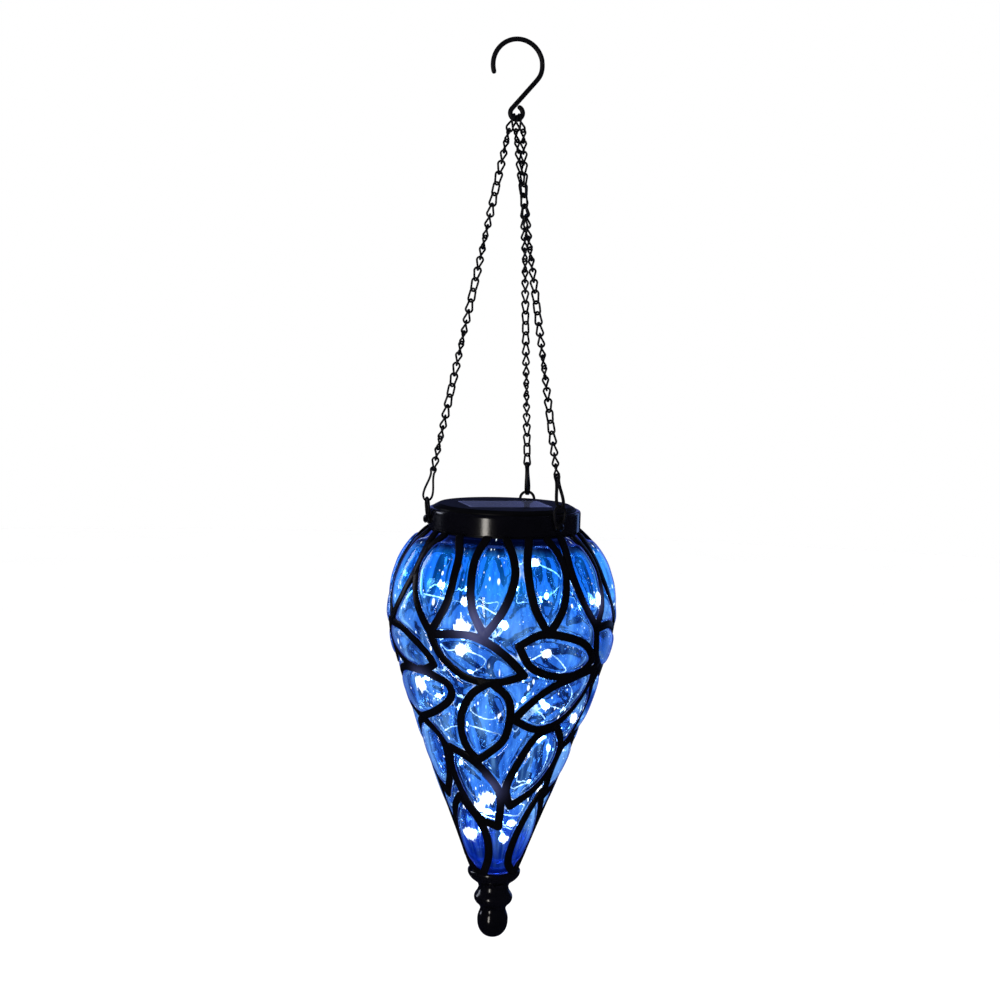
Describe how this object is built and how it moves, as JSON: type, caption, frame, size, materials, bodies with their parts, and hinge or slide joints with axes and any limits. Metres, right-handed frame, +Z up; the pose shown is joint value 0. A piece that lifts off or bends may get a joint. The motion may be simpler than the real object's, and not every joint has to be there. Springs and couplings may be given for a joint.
{
  "type": "solar lantern",
  "caption": "Hanging solar lantern: blown blue glass teardrop in a leaf-pattern strip cage, solar lid, hanging chains, wire hook and turned finial.",
  "frame": {"origin": "inside top of the hook's bow, where the lantern hangs on a bar or branch", "axes": "+Z up along the hanging axis; the hook's bow and the solar panel's long side lie along X; one chain is at -X and the other two are at +X, on the +Y and -Y sides"},
  "size_m": [0.128, 0.1276, 0.5054],
  "materials": {
    "black_wire": "black satin enamel on bent wire",
    "black_screw": "black zinc",
    "black_satin": "black satin powder coat",
    "blue_glass": "clear cobalt-blue blown glass",
    "rubber": "matte black",
    "steel": "zinc plated",
    "black_gloss": "smooth glossy black",
    "panel_board": "dark blue laminate",
    "solar_cell": "blue polycrystalline silicon",
    "clear_resin": "clear cast resin",
    "black_plastic": "fine moulded black",
    "battery_wrap": "green shrink sleeve",
    "green_board": "solder mask",
    "board_parts": "moulded component bodies",
    "switch_knob": "moulded",
    "copper_wire": "enamelled copper",
    "lamp_resin": "clear resin drop over a cool white lamp"
  },
  "bodies": {
    "hook": {"hook": "black_wire"},
    "end_links": {"top_links": "black_wire"},
    "lantern": {"chain_left": "black_wire", "chain_back": "black_wire", "chain_front": "black_wire", "clip_left": "black_wire", "clip_back": "black_wire", "clip_front": "black_wire", "bails": "black_wire", "bail_screws": "black_screw", "collar": "black_satin", "cage_top_ring": "black_satin", "cage": "black_satin", "glass_globe": "blue_glass", "glass_gasket": "rubber", "bottom_cup": "black_satin", "finial": "black_satin", "finial_stud": "steel", "finial_nut": "steel", "finial_washer": "steel"},
    "lid": {"lid_cover": "black_gloss", "lid_seal": "rubber", "panel_board": "panel_board", "solar_cells": "solar_cell", "panel_resin": "clear_resin", "battery_housing": "black_plastic", "housing_screws": "steel", "battery_cell": "battery_wrap", "battery_cradle": "black_plastic", "contact_plates": "steel", "contact_spring": "steel", "circuit_board": "green_board", "board_parts": "board_parts", "board_screws": "steel", "switch_body": "steel", "string_grommet": "rubber", "light_string": "copper_wire", "lamp_beads": "lamp_resin"},
    "switch": {"switch_slider": "switch_knob"}
  },
  "joints": [
    {"name": "swing_sideways", "type": "hinge", "parent": "hook", "child": "end_links", "pos_m": [0, 0, -0.0384], "axis": [0, 1, 0], "range_deg": [-25, 25]},
    {"name": "swing_front_back", "type": "hinge", "parent": "end_links", "child": "lantern", "pos_m": [0, 0, -0.0485], "axis": [1, 0, 0], "range_deg": [-25, 25]},
    {"name": "lid_twist", "type": "hinge", "parent": "lantern", "child": "lid", "pos_m": [0, 0, -0.256], "axis": [0, 0, 1], "range_deg": [-20, 0]},
    {"name": "switch_slide", "type": "slide", "parent": "lid", "child": "switch", "axis": [1, 0, 0], "range_m": [0, 0.002]}
  ]
}
